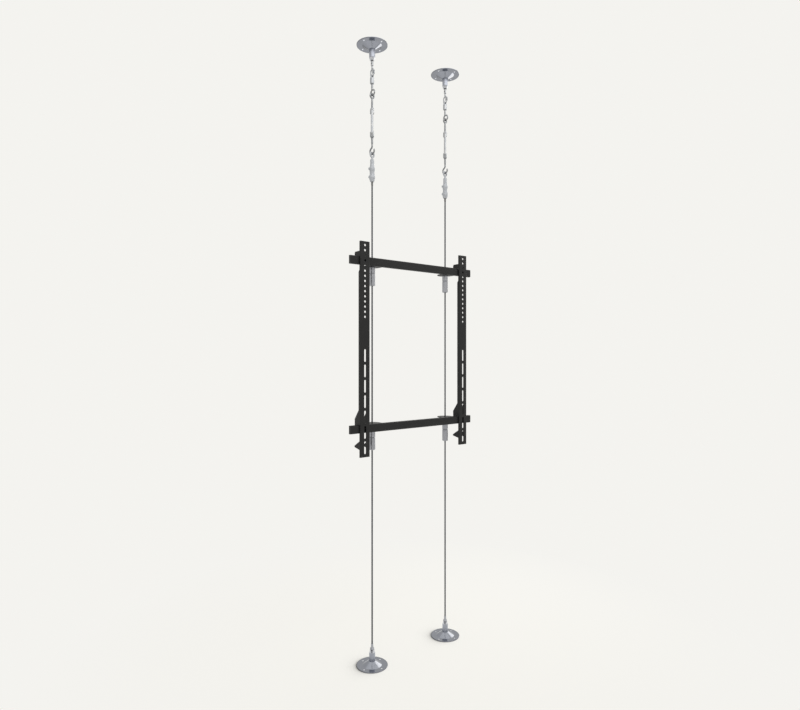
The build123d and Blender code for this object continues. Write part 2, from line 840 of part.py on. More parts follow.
def flange_outline():
    # Side outline of a bracket flange from the top down: depth from the rail and height
    front = rail_front - seat_gap - flange_shallow
    shallow = front + flange_shallow
    general = front + flange_depth
    hook_rear = front + hook_depth
    lip_front = rail_rear + lip_gap
    upper = rail_z["upper"] + rail_height / 2
    lower = rail_z["lower"] + rail_height / 2
    catch = lower - recess_height
    return [
        (front, bracket_top_z),
        (shallow, bracket_top_z),
        (shallow, upper + seat_gap + hook_height),
        (hook_rear - hook_corner, upper + seat_gap + hook_height),
        (hook_rear, upper + seat_gap + hook_height - hook_corner),
        (hook_rear, upper - lip_length),
        (lip_front, upper - lip_length),
        (lip_front, upper + seat_gap),
        (shallow, upper + seat_gap),
        (shallow, upper - recess_height + recess_slope),
        (general, upper - recess_height),
        (general, lower + gusset_height + gusset_slope),
        (hook_rear, lower + gusset_height),
        (hook_rear, lower - lip_length),
        (lip_front, lower - lip_length),
        (lip_front, lower + seat_gap),
        (shallow, lower + seat_gap),
        (shallow, catch),
        (front + catch_depth, catch - catch_fall),
        (front + catch_depth, catch - catch_fall - catch_tip),
        (shallow, catch - catch_fall - catch_tip - catch_return),
        (shallow, bracket_bottom_z),
        (front, bracket_bottom_z),
    ]


def build_bracket(x):
    # Folded upright with hooked flanges, a row of screw holes and a row of slots
    outline = flange_outline()
    front = outline[0][0]
    holes_z = [bracket_top_z - screw_hole_edge - i * screw_hole_pitch for i in range(screw_hole_count)]
    slots_z = [bracket_bottom_z + slot_tail + slot_length / 2 + i * slot_pitch for i in range(slot_count)]
    with BuildPart() as bracket:
        with BuildSketch(Plane.XZ.offset(-front)):
            with Locations((x, bracket_bottom_z)):
                Rectangle(bracket_width, bracket_top_z - bracket_bottom_z, align=(Align.CENTER, Align.MIN))
        extrude(amount=-bracket_wall)
        for side in (-1, 1):
            with BuildSketch(Plane.YZ.offset(x + side * bracket_width / 2)):
                with BuildLine():
                    Polyline(*outline, close=True)
                make_face()
            extrude(amount=-side * bracket_wall)
        fillet(bracket.edges().filter_by(Axis.Z).group_by(Axis.Y)[0], bracket_bend)
        with BuildSketch(Plane.XZ.offset(-front)):
            with Locations(*[(x, z) for z in holes_z]):
                Circle(screw_hole_radius)
            with Locations(*[(x, z) for z in slots_z]):
                SlotOverall(slot_length, slot_width, rotation=90)
        extrude(amount=-flange_shallow, both=True, mode=Mode.SUBTRACT)
    return bracket.part


def save(part, name):
    part.label = name
    export_step(part, "parts/" + name + ".step")


os.makedirs("parts", exist_ok=True)

for side, x in cable_x.items():
    floor_notch = radial_plane(x, barrel_tip, floor_notch_turn)
    ceiling_notch = radial_plane(x, ceiling_height - barrel_tip, ceiling_notch_turn)
    save(build_plate(x, floor_section(x), 0.0), "floor_plate_" + side)
    save(build_plate(x, ceiling_section(x), ceiling_height), "ceiling_plate_" + side)
    save(build_barrel(x, floor_section(x), floor_notch), "floor_barrel_" + side)
    save(build_barrel(x, ceiling_section(x), ceiling_notch), "ceiling_barrel_" + side)
    save(build_ceiling_stud(x), "ceiling_stud_" + side)
    save(build_snap_hook(x), "snap_hook_" + side)
    save(build_snap_gate(x), "snap_gate_" + side)
    save(build_swivel_bail(x), "swivel_bail_" + side)
    save(build_swivel_collar(x), "swivel_collar_" + side)
    save(build_swivel_ring(x), "swivel_ring_" + side)
    save(build_turnbuckle_eye(x), "turnbuckle_eye_" + side)
    save(build_turnbuckle_frame(x), "turnbuckle_frame_" + side)
    save(build_turnbuckle_hook(x), "turnbuckle_hook_" + side)
    save(build_end_clamp(x), "end_clamp_" + side)
    save(build_clamp_boot(x), "clamp_boot_" + side)
    save(build_cable(x), "cable_" + side)
    save(build_floor_terminal(x), "floor_terminal_" + side)

save(build_pins(0.0, fork_pin_z, eye_plane, fork_pin_radius, fork_radius), "fork_pins")
save(build_pins(gate_pivot_reach, gate_pivot_z, hook_plane, gate_pin_radius,
                snap_wire + gate_gap + gate_sheet), "gate_pins")
save(build_clamp_screws(), "clamp_screws")

for level, z in rail_z.items():
    under_z = z - rail_height / 2
    save(build_rail(z), "rail_" + level)
    for side, x in cable_x.items():
        save(build_gripper_cap(x, under_z), "gripper_cap_" + level + "_" + side)
        save(build_gripper_body(x, under_z), "gripper_body_" + level + "_" + side)
        save(build_collet(x, under_z), "collet_" + level + "_" + side)

for side, x in bracket_x.items():
    save(build_bracket(x), "bracket_" + side)
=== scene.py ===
"""Looks of a floor-to-ceiling cable mount: finishes, wire rope, screw threads, studio and camera."""

import logging
import math
from dataclasses import dataclass
from enum import Enum
from typing import Any

import bmesh
import bpy
from mathutils import Matrix, Vector


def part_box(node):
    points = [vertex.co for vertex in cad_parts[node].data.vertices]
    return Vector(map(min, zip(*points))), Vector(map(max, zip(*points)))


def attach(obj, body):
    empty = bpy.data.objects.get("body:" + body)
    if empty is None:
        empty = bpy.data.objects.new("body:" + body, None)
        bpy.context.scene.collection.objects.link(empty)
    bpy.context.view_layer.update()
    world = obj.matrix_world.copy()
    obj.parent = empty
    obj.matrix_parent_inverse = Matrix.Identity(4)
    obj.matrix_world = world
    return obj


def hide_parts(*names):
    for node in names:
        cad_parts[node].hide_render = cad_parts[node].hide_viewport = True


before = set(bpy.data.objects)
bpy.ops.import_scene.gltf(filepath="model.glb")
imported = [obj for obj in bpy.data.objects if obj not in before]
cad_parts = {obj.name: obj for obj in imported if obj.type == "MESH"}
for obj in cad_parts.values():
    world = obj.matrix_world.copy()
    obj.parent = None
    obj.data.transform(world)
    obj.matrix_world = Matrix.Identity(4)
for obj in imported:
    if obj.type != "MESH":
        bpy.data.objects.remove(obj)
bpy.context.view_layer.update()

Socket = bpy.types.NodeSocket
Colour = tuple[float, float, float]
Paint = tuple[float, float, float, float]
Span = tuple[float, float]

LOG = logging.getLogger("cable_mount")
MM = 0.001
# Distance of each cable from the middle
CABLE_REACH = 150 * MM
WHITE: Colour = (1.0, 1.0, 1.0)
UNIT: Span = (0.0, 1.0)
# Levels that most of a noise pattern lies between
MID_NOISE: Span = (0.3, 0.7)


class Side(Enum):
    """The two cables, named as seen from the front."""

    LEFT = "left"
    RIGHT = "right"


class Level(Enum):
    """The two rails."""

    UPPER = "upper"
    LOWER = "lower"


class Graph:
    """Small helper that adds linked nodes to one material or world."""

    def __init__(self, tree: bpy.types.NodeTree) -> None:
        """Starts from an empty tree.

        Args:
            tree: the node tree to fill.
        """
        self.tree = tree
        tree.nodes.clear()

    def add(self, kind: str, settings: dict[str, Any] | None = None, **inputs: Any) -> bpy.types.Node:
        """Adds a node, sets its properties and fills its inputs.

        Args:
            kind: Blender's node type name, without the ShaderNode prefix.
            settings: properties of the node itself.
            inputs: values or output sockets, by input name with underscores for spaces;
                a name such as i0 stands for the input with that number.

        Returns:
            The new node.
        """
        node = self.tree.nodes.new("ShaderNode" + kind)
        for name, value in (settings or {}).items():
            setattr(node, name, value)
        for name, value in inputs.items():
            numbered = name[0] == "i" and name[1:].isdigit()
            socket = node.inputs[int(name[1:])] if numbered else node.inputs[name.replace("_", " ")]
            if isinstance(value, Socket):
                self.tree.links.new(value, socket)
            else:
                socket.default_value = value
        return node

    def math(self, operation: str, first: Any, second: Any = 0.0) -> Socket:
        """Adds a Math node and returns its value."""
        return self.add("Math", {"operation": operation}, i0=first, i1=second).outputs[0]

    def ramp(self, fac: Socket, span: Span, start: Any, end: Any) -> Socket:
        """Maps a value from a span to the range from start to end, held at both, and returns it."""
        node = self.add("MapRange", {"clamp": True}, i0=fac, i1=span[0], i2=span[1], i3=start, i4=end)
        return node.outputs[0]

    def blend(self, fac: Any, first: Any, second: Any) -> Socket:
        """Mixes two colours and returns the result."""
        node = self.add("Mix", {"data_type": "RGBA"}, i0=fac, i6=first, i7=second)
        return node.outputs[2]

    def noise(self, vector: Socket, scale: float, detail: float) -> Socket:
        """Adds a noise pattern on the given coordinates and returns its value."""
        return self.add("TexNoise", Vector=vector, Scale=scale, Detail=detail).outputs["Fac"]

    def dot(self, first: Any, second: Any) -> Socket:
        """Returns the dot product of two vectors."""
        node = self.add("VectorMath", {"operation": "DOT_PRODUCT"}, i0=first, i1=second)
        return node.outputs["Value"]

    def length(self, vector: Socket) -> Socket:
        """Returns the length of a vector."""
        return self.add("VectorMath", {"operation": "LENGTH"}, i0=vector).outputs["Value"]

    def place(self) -> Socket:
        """Returns the shaded point's place in the shared frame."""
        return self.add("TexCoord").outputs["Object"]

    def from_cable(self, place: Socket) -> Socket:
        """Measures how far a place is from the axis of the nearer cable.

        Args:
            place: the place in the shared frame.

        Returns:
            The distance in metres.
        """
        split = self.add("SeparateXYZ", Vector=place).outputs
        aside = self.math("SUBTRACT", self.math("ABSOLUTE", split["X"]), CABLE_REACH)
        return self.length(self.add("CombineXYZ", X=aside, Y=split["Y"]).outputs[0])

    def bump(self, height: Socket, strength: float, distance: float, **inputs: Any) -> Socket:
        """Raises the surface by a pattern and returns the new normal."""
        node = self.add("Bump", Strength=strength, Distance=distance, Height=height, **inputs)
        return node.outputs[0]

    def metal(self, base: Socket, rough: Socket, normal: Socket) -> Socket:
        """Adds the shader of a bare or plated metal and returns it."""
        node = self.add("BsdfPrincipled", Base_Color=base, Roughness=rough, Metallic=1.0, Normal=normal)
        return node.outputs[0]


def shade(value: float, tint: Colour = WHITE) -> Paint:
    """Gives a grey of one level with a slight tint, as a colour with alpha."""
    return (value * tint[0], value * tint[1], value * tint[2], 1.0)


@dataclass(frozen=True)
class Finish:
    """A procedural finish.

    Args:
        name: the material's name.
        roughness: mean roughness of the surface.
    """

    name: str
    roughness: float

    def uneven(self, graph: Graph, pattern: Socket, span: Span, shares: Span) -> Socket:
        """Varies the roughness by a pattern.

        Args:
            graph: the material's nodes.
            pattern: the pattern's value.
            span: levels of the pattern that count.
            shares: the roughness at both ends of the span, as shares of the mean.

        Returns:
            The roughness.
        """
        return graph.ramp(pattern, span, self.roughness * shares[0], self.roughness * shares[1])

    def surface(self, graph: Graph) -> Socket:
        """Adds the nodes of one kind of finish.

        Args:
            graph: the material's nodes.

        Returns:
            The shader.
        """
        raise NotImplementedError

    def build(self) -> bpy.types.Material:
        """Makes the material and returns it."""
        material = bpy.data.materials.new(self.name)
        material.use_nodes = True
        graph = Graph(material.node_tree)
        graph.add("OutputMaterial", Surface=self.surface(graph))
        return material


@dataclass(frozen=True)
class TurnedMetal(Finish):
    """Plated metal turned on a lathe, with fine rings round each cable's axis.

    Args:
        grey: lightness of the metal.
        tint: slight colour of the plating.
        ring_pitch: spacing of the turning marks in metres.
        ring_depth: strength of the turning marks.
        patina: how much darker the dull patches are, from 0 to 1.
        painted_rim_radius: radius beyond which the plate's outer edge is darker, in metres; a painted dark
            reflection of its rounded border.
        painted_nose_radius: radius within which the barrel's mouth is lighter, a painted highlight, in
            metres, or 0 for none.
        painted_nose_grey: lightness of the painted highlight on the mouth.
        painted_nose_tint: slight colour of the painted highlight on the mouth.
    """

    grey: float
    tint: Colour
    ring_pitch: float
    ring_depth: float
    patina: float
    painted_rim_radius: float = 45.2 * MM
    painted_nose_radius: float = 0.0
    painted_nose_grey: float = 0.64
    painted_nose_tint: Colour = (0.98, 1.0, 1.06)

    # Share of the radius in the rings' count, which gives flat faces their rings too
    RING_LEAN = 0.83
    RING_DETAIL = 3.0
    RING_HEIGHT = 0.2 * MM
    RING_ROUGHNESS = (0.8, 1.25)
    CLOUD_SCALE = 55.0
    CLOUD_DETAIL = 4.0
    DULL_SPAN = (0.42, 0.70)
    DULL_ROUGHNESS = 0.25
    SPECK_SCALE = 900.0
    SPECK_DETAIL = 1.0
    FLECK_SPAN = (0.60, 0.78)
    FLECK_SHARE = 0.12
    # Lightness of the dull shade, as a share of the metal's own
    DULL_LIGHT = 0.62
    # Width and darkness of the painted dark reflection at the plate's outer edge
    PAINTED_RIM_EDGE = 0.6 * MM
    PAINTED_RIM_SHARE = 0.8
    # Width of the soft border of the painted highlight on the barrel's mouth
    PAINTED_NOSE_EDGE = 0.4 * MM

    def surface(self, graph: Graph) -> Socket:
        """Adds the rings, dull patches and flecks, a painted dark reflection at the plate's outer edge and a
        painted highlight on the barrel's mouth.

        Args:
            graph: the material's nodes.

        Returns:
            The shader.
        """
        place = graph.place()
        radius = graph.from_cable(place)
        height = graph.add("SeparateXYZ", Vector=place).outputs["Z"]
        along = graph.math("ADD", graph.math("MULTIPLY", radius, self.RING_LEAN), height)
        rings_at = graph.add("CombineXYZ", X=along).outputs[0]
        rings = graph.noise(rings_at, 1.0 / self.ring_pitch, self.RING_DETAIL)
        clouds = graph.noise(place, self.CLOUD_SCALE, self.CLOUD_DETAIL)
        specks = graph.noise(place, self.SPECK_SCALE, self.SPECK_DETAIL)
        dull = graph.ramp(clouds, self.DULL_SPAN, 0.0, self.patina)
        fleck = graph.ramp(specks, self.FLECK_SPAN, 0.0, self.FLECK_SHARE)
        # Darker beyond the plate's outer radius: a painted dark reflection of its rounded border
        painted_rim_span = (self.painted_rim_radius, self.painted_rim_radius + self.PAINTED_RIM_EDGE)
        painted_rim_reflection = graph.ramp(radius, painted_rim_span, 0.0, self.PAINTED_RIM_SHARE)
        # Dull patches and flecks are real wear; the darker outer edge joins them as painted reflection
        wear_and_painted_rim = graph.math("MAXIMUM", graph.math("ADD", dull, fleck), painted_rim_reflection)
        base = graph.blend(wear_and_painted_rim, shade(self.grey, self.tint), shade(self.grey * self.DULL_LIGHT, self.tint))
        # A lighter band at the barrel's mouth: a painted highlight
        if self.painted_nose_radius:
            painted_nose_span = (self.painted_nose_radius - self.PAINTED_NOSE_EDGE, self.painted_nose_radius)
            painted_nose_highlight = graph.ramp(radius, painted_nose_span, 1.0, 0.0)
            base = graph.blend(painted_nose_highlight, base, shade(self.painted_nose_grey, self.painted_nose_tint))
        rough = graph.math("ADD", self.uneven(graph, rings, MID_NOISE, self.RING_ROUGHNESS),
                           graph.math("MULTIPLY", dull, self.DULL_ROUGHNESS))
        return graph.metal(base, rough, graph.bump(rings, self.ring_depth, self.RING_HEIGHT))


@dataclass(frozen=True)
class ZincPlating(Finish):
    """Satin zinc on bent and forged hardware, with soft spangle and rubbed patches.

    Args:
        grey: lightness of the zinc.
        tint: slight colour of the passivated layer.
        rubbed_tint: colour where the layer is rubbed through.
    """

    grey: float
    tint: Colour
    rubbed_tint: Colour = WHITE

    SPANGLE_SCALE = 420.0
    SPANGLE_DARK = 0.86
    SPANGLE_ROUGHNESS = (0.85, 1.2)
    CLOUD_SCALE = 90.0
    CLOUD_DETAIL = 4.0
    RUBBED_SPAN = (0.50, 0.66)
    RUBBED_SHARE = 0.8
    RUBBED_LIGHT = 1.08
    RUBBED_SMOOTHNESS = 0.1
    GRAIN_SCALE = 2600.0
    GRAIN_DETAIL = 2.0
    GRAIN_DEPTH = 0.12
    GRAIN_HEIGHT = 0.1 * MM

    def surface(self, graph: Graph) -> Socket:
        """Adds the spangle, rubbed patches and grain.

        Args:
            graph: the material's nodes.

        Returns:
            The shader.
        """
        place = graph.place()
        cells = graph.add("TexVoronoi", {"feature": "F1"}, Vector=place, Scale=self.SPANGLE_SCALE)
        spangle = graph.add("RGBToBW", Color=cells.outputs["Color"]).outputs[0]
        clouds = graph.noise(place, self.CLOUD_SCALE, self.CLOUD_DETAIL)
        grain = graph.noise(place, self.GRAIN_SCALE, self.GRAIN_DETAIL)
        rubbed = graph.ramp(clouds, self.RUBBED_SPAN, 0.0, self.RUBBED_SHARE)
        plain = graph.blend(spangle, shade(self.grey * self.SPANGLE_DARK, self.tint),
                            shade(self.grey, self.tint))
        base = graph.blend(rubbed, plain, shade(self.grey * self.RUBBED_LIGHT, self.rubbed_tint))
        rough = graph.math("SUBTRACT", self.uneven(graph, spangle, UNIT, self.SPANGLE_ROUGHNESS),
                           graph.math("MULTIPLY", rubbed, self.RUBBED_SMOOTHNESS))
        return graph.metal(base, rough, graph.bump(grain, self.GRAIN_DEPTH, self.GRAIN_HEIGHT))


@dataclass(frozen=True)
class PowderCoat(Finish):
    """Satin black powder coat with orange peel and slightly greyer, smoother edges; the grey there is partly
    rubbed wear and partly a painted highlight where the edges catch light.

    Args:
        black: lightness of the coat.
        edge_width: width of the rounded edges in metres, which are lighter as rubbed wear and as a painted
            highlight.
    """

    black: float
    edge_width: float

    CLOUD_SCALE = 26.0
    CLOUD_DETAIL = 3.0
    CLOUD_ROUGHNESS = (0.92, 1.1)
    # The coat's two shades, each a share of its lightness and a tint
    DEEP = (0.85, (1.0, 1.0, 1.04))
    PALE = (1.2, (1.0, 1.0, 1.02))
    DUST_SCALE = 3800.0
    DUST_DETAIL = 1.0
    DUST_SPAN = (0.66, 0.80)
    DUST_SHARE = 0.5
    DUST_LIGHT = 1.9
    # How far the rounded normal turns from the flat one at an edge, as a dot product
    EDGE_SPAN = (0.80, 0.99)
    EDGE_SAMPLES = 4
    EDGE_CLOUDS = (0.35, 0.65)
    EDGE_SHARES = (0.25, 0.9)
    # Lightness of the edges, partly rubbed wear and partly a painted highlight
    EDGE_WEAR_AND_HIGHLIGHT = 4.5
    EDGE_SMOOTHNESS = 0.12
    PEEL_SCALE = 1500.0
    PEEL_DETAIL = 2.0
    PEEL_DEPTH = 0.16
    PEEL_HEIGHT = 0.25 * MM
    SPECULAR = 0.3

    def surface(self, graph: Graph) -> Socket:
        """Adds the orange peel, dust and lighter edges, partly rubbed wear and partly painted highlight.

        Args:
            graph: the material's nodes.

        Returns:
            The shader.
        """
        place = graph.place()
        peel = graph.noise(place, self.PEEL_SCALE, self.PEEL_DETAIL)
        clouds = graph.noise(place, self.CLOUD_SCALE, self.CLOUD_DETAIL)
        dust = graph.noise(place, self.DUST_SCALE, self.DUST_DETAIL)
        rounded = graph.add("Bevel", {"samples": self.EDGE_SAMPLES}, Radius=self.edge_width).outputs[0]
        flat = graph.add("NewGeometry").outputs["Normal"]
        # Lighter edges: partly rubbed wear, partly a painted highlight where edges catch light
        edge = graph.math("MULTIPLY", graph.ramp(graph.dot(rounded, flat), self.EDGE_SPAN, 1.0, 0.0),
                          graph.ramp(clouds, self.EDGE_CLOUDS, *self.EDGE_SHARES))
        deep, pale = (shade(self.black * share, tint) for share, tint in (self.DEEP, self.PALE))
        base = graph.blend(graph.ramp(clouds, MID_NOISE, 0.0, 1.0), deep, pale)
        base = graph.blend(graph.ramp(dust, self.DUST_SPAN, 0.0, self.DUST_SHARE), base,
                           shade(self.black * self.DUST_LIGHT))
        base = graph.blend(edge, base, shade(self.black * self.EDGE_WEAR_AND_HIGHLIGHT))
        rough = graph.math("SUBTRACT", self.uneven(graph, clouds, MID_NOISE, self.CLOUD_ROUGHNESS),
                           graph.math("MULTIPLY", edge, self.EDGE_SMOOTHNESS))
        normal = graph.bump(peel, self.PEEL_DEPTH, self.PEEL_HEIGHT, Normal=rounded)
        shader = graph.add("BsdfPrincipled", Base_Color=base, Roughness=rough, Normal=normal,
                           Specular_IOR_Level=self.SPECULAR)
        return shader.outputs[0]


@dataclass(frozen=True)
class DrawnWire(Finish):
    """Bare drawn wire in the cable's strands, darker between them, towards the cable's axis.

    Args:
        grey: lightness of the wires.
        tint: slight colour of the drawn steel.
        wire_pitch: spacing of the fine wires' marks along the cable in metres.
        cable_radius: outer radius of the cable in metres.
    """

    grey: float
    tint: Colour
    wire_pitch: float
    cable_radius: float

    # Shares of the cable's radius between which the grooves turn into the strands' crowns
    GROOVE_SHARES = (0.62, 0.92)
    # Share and lightness of the darker colour towards the cable's axis, between the strands
    INNER_DARK_SHARE = 0.85
    INNER_DARK_LIGHT = 0.18
    INNER_ROUGHNESS = 0.3
    # Spacing of the bands of Blender's wave pattern at a scale of 1
    WAVE_PITCH = math.pi / 10
    WAVE_WARP = 0.4
    WIRE_DEPTH = 0.35
    WIRE_HEIGHT = 0.1 * MM
    CLOUD_SCALE = 120.0
    CLOUD_DETAIL = 3.0
    DULL_LIGHT = 0.88

    def surface(self, graph: Graph) -> Socket:
        """Adds the wires and the darker grooves between the strands.

        Args:
            graph: the material's nodes.

        Returns:
            The shader.
        """
        place = graph.place()
        inner, outer = (self.cable_radius * share for share in self.GROOVE_SHARES)
        groove = graph.ramp(graph.from_cable(place), (inner, outer), 1.0, 0.0)
        wires = graph.add("TexWave", {"bands_direction": "Z"}, Vector=place,
                          Scale=self.WAVE_PITCH / self.wire_pitch, Distortion=self.WAVE_WARP).outputs["Fac"]
        clouds = graph.noise(place, self.CLOUD_SCALE, self.CLOUD_DETAIL)
        steel = graph.blend(graph.ramp(clouds, MID_NOISE, 0.0, 1.0),
                            shade(self.grey * self.DULL_LIGHT, self.tint), shade(self.grey, self.tint))
        # Darker and rougher towards the cable's axis, between the strands
        base = graph.blend(graph.math("MULTIPLY", groove, self.INNER_DARK_SHARE), steel,
                           shade(self.grey * self.INNER_DARK_LIGHT))
        rough = graph.math("ADD", graph.math("MULTIPLY", groove, self.INNER_ROUGHNESS), self.roughness)
        return graph.metal(base, rough, graph.bump(wires, self.WIRE_DEPTH, self.WIRE_HEIGHT))


@dataclass(frozen=True)
class MatteSleeve(Finish):
    """Matte dark grey plastic of the short sleeves under the end clamps.

    Args:
        grey: lightness of the plastic.
    """

    grey: float

    CLOUD_SCALE = 140.0
    CLOUD_DETAIL = 3.0
    CLOUD_SHARES = (0.8, 1.4)
    GRAIN_SCALE = 1800.0
    GRAIN_DETAIL = 2.0
    GRAIN_DEPTH = 0.2
    GRAIN_HEIGHT = 0.1 * MM
    GRAIN_ROUGHNESS = (0.9, 1.1)

    def surface(self, graph: Graph) -> Socket:
        """Adds the moulded grain.

        Args:
            graph: the material's nodes.

        Returns:
            The shader.
        """
        place = graph.place()
        grain = graph.noise(place, self.GRAIN_SCALE, self.GRAIN_DETAIL)
        clouds = graph.noise(place, self.CLOUD_SCALE, self.CLOUD_DETAIL)
        deep, pale = (shade(self.grey * share) for share in self.CLOUD_SHARES)
        rough = self.uneven(graph, grain, MID_NOISE, self.GRAIN_ROUGHNESS)
        shader = graph.add("BsdfPrincipled", Base_Color=graph.blend(clouds, deep, pale), Roughness=rough,
                           Normal=graph.bump(grain, self.GRAIN_DEPTH, self.GRAIN_HEIGHT))
        return shader.outputs[0]


class Finishes:
    """The finishes of the mount, made once and shared."""

    PLATING_TINT: Colour = (0.96, 1.005, 1.14)
    ZINC_TINT: Colour = (0.97, 1.0, 1.05)

    def __init__(self) -> None:
        """Makes every material."""
        self.polished = TurnedMetal(
            name="polished_plating", roughness=0.14, grey=0.34, tint=self.PLATING_TINT,
            ring_pitch=0.6 * MM, ring_depth=0.06, patina=0.15).build()
        self.barrel = TurnedMetal(
            name="turned_barrel", roughness=0.26, grey=0.38, tint=self.PLATING_TINT,
            ring_pitch=0.6 * MM, ring_depth=0.06, patina=0.15, painted_nose_radius=8.9 * MM).build()
        self.nickel = TurnedMetal(
            name="satin_nickel", roughness=0.30, grey=0.42, tint=(0.97, 0.99, 1.06),
            ring_pitch=0.4 * MM, ring_depth=0.18, patina=0.20).build()
        self.blasted = TurnedMetal(
            name="blasted_nickel", roughness=0.70, grey=0.57, tint=(0.97, 1.0, 1.05),
            ring_pitch=0.4 * MM, ring_depth=0.10, patina=0.10).build()
        self.zinc = ZincPlating(name="zinc_plating", roughness=0.32, grey=0.43, tint=self.ZINC_TINT).build()
        self.rod_zinc = ZincPlating(
            name="dark_zinc_plating", roughness=0.32, grey=0.32, tint=self.ZINC_TINT).build()
        self.black = PowderCoat(
            name="black_powder_coat", roughness=0.45, black=0.012, edge_width=0.7 * MM).build()
        self.wire = DrawnWire(
            name="drawn_wire", roughness=0.32, grey=0.16, tint=(0.95, 0.99, 1.08),
            wire_pitch=0.7854 * MM, cable_radius=2.5 * MM).build()
        self.sleeve = MatteSleeve(name="grey_sleeve", roughness=0.6, grey=0.15).build()


def coat(obj: bpy.types.Object, material: bpy.types.Material) -> None:
    """Gives an object one material.

    Args:
        obj: a CAD node or a new piece.
        material: the finish to put in its first slot.
    """
    obj.data.materials.clear()
    obj.data.materials.append(material)


def coat_nodes(names: list[str], material: bpy.types.Material) -> None:
    """Gives CAD nodes one material.

    Args:
        names: the nodes' names.
        material: their finish.
    """
    for name in names:
        coat(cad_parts[name], material)


def new_piece(name: str, mesh: bmesh.types.BMesh, body: str) -> bpy.types.Object:
    """Turns a bmesh into a smooth-shaded piece that rides on a body.

    Args:
        name: the piece's name.
        mesh: its geometry in the shared frame, freed here.
        body: the CAD body that it moves with.

    Returns:
        The new object.
    """
    bmesh.ops.recalc_face_normals(mesh, faces=mesh.faces)
    # A spin leaves its faces in an order that changes from run to run
    mesh.verts.index_update()
    mesh.faces.sort(key=lambda face: sum(vert.index**2 for vert in face.verts))
    for face in mesh.faces:
        face.smooth = True
    data = bpy.data.meshes.new(name)
    mesh.to_mesh(data)
    mesh.free()
    obj = bpy.data.objects.new(name, data)
    bpy.context.scene.collection.objects.link(obj)
    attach(obj, body)
    return obj


@dataclass
class Anchorage:
    """Plates, barrels and ball fittings at both ends of one cable.

    Args:
        side: which cable it belongs to.
    """

    side: Side

    def dress(self, finishes: Finishes) -> None:
        """Gives the plates, barrels and ball fittings their finishes.

        Args:
            finishes: the mount's finishes.
        """
        side = self.side.value
        coat_nodes([f"ceiling_plate_{side}", f"floor_plate_{side}"], finishes.polished)
        coat_nodes([f"ceiling_barrel_{side}", f"floor_barrel_{side}"], finishes.barrel)
        coat_nodes([f"ceiling_stud_{side}"], finishes.rod_zinc)
        coat_nodes([f"floor_terminal_{side}"], finishes.nickel)
        LOG.info("anchorage %s dressed", side)


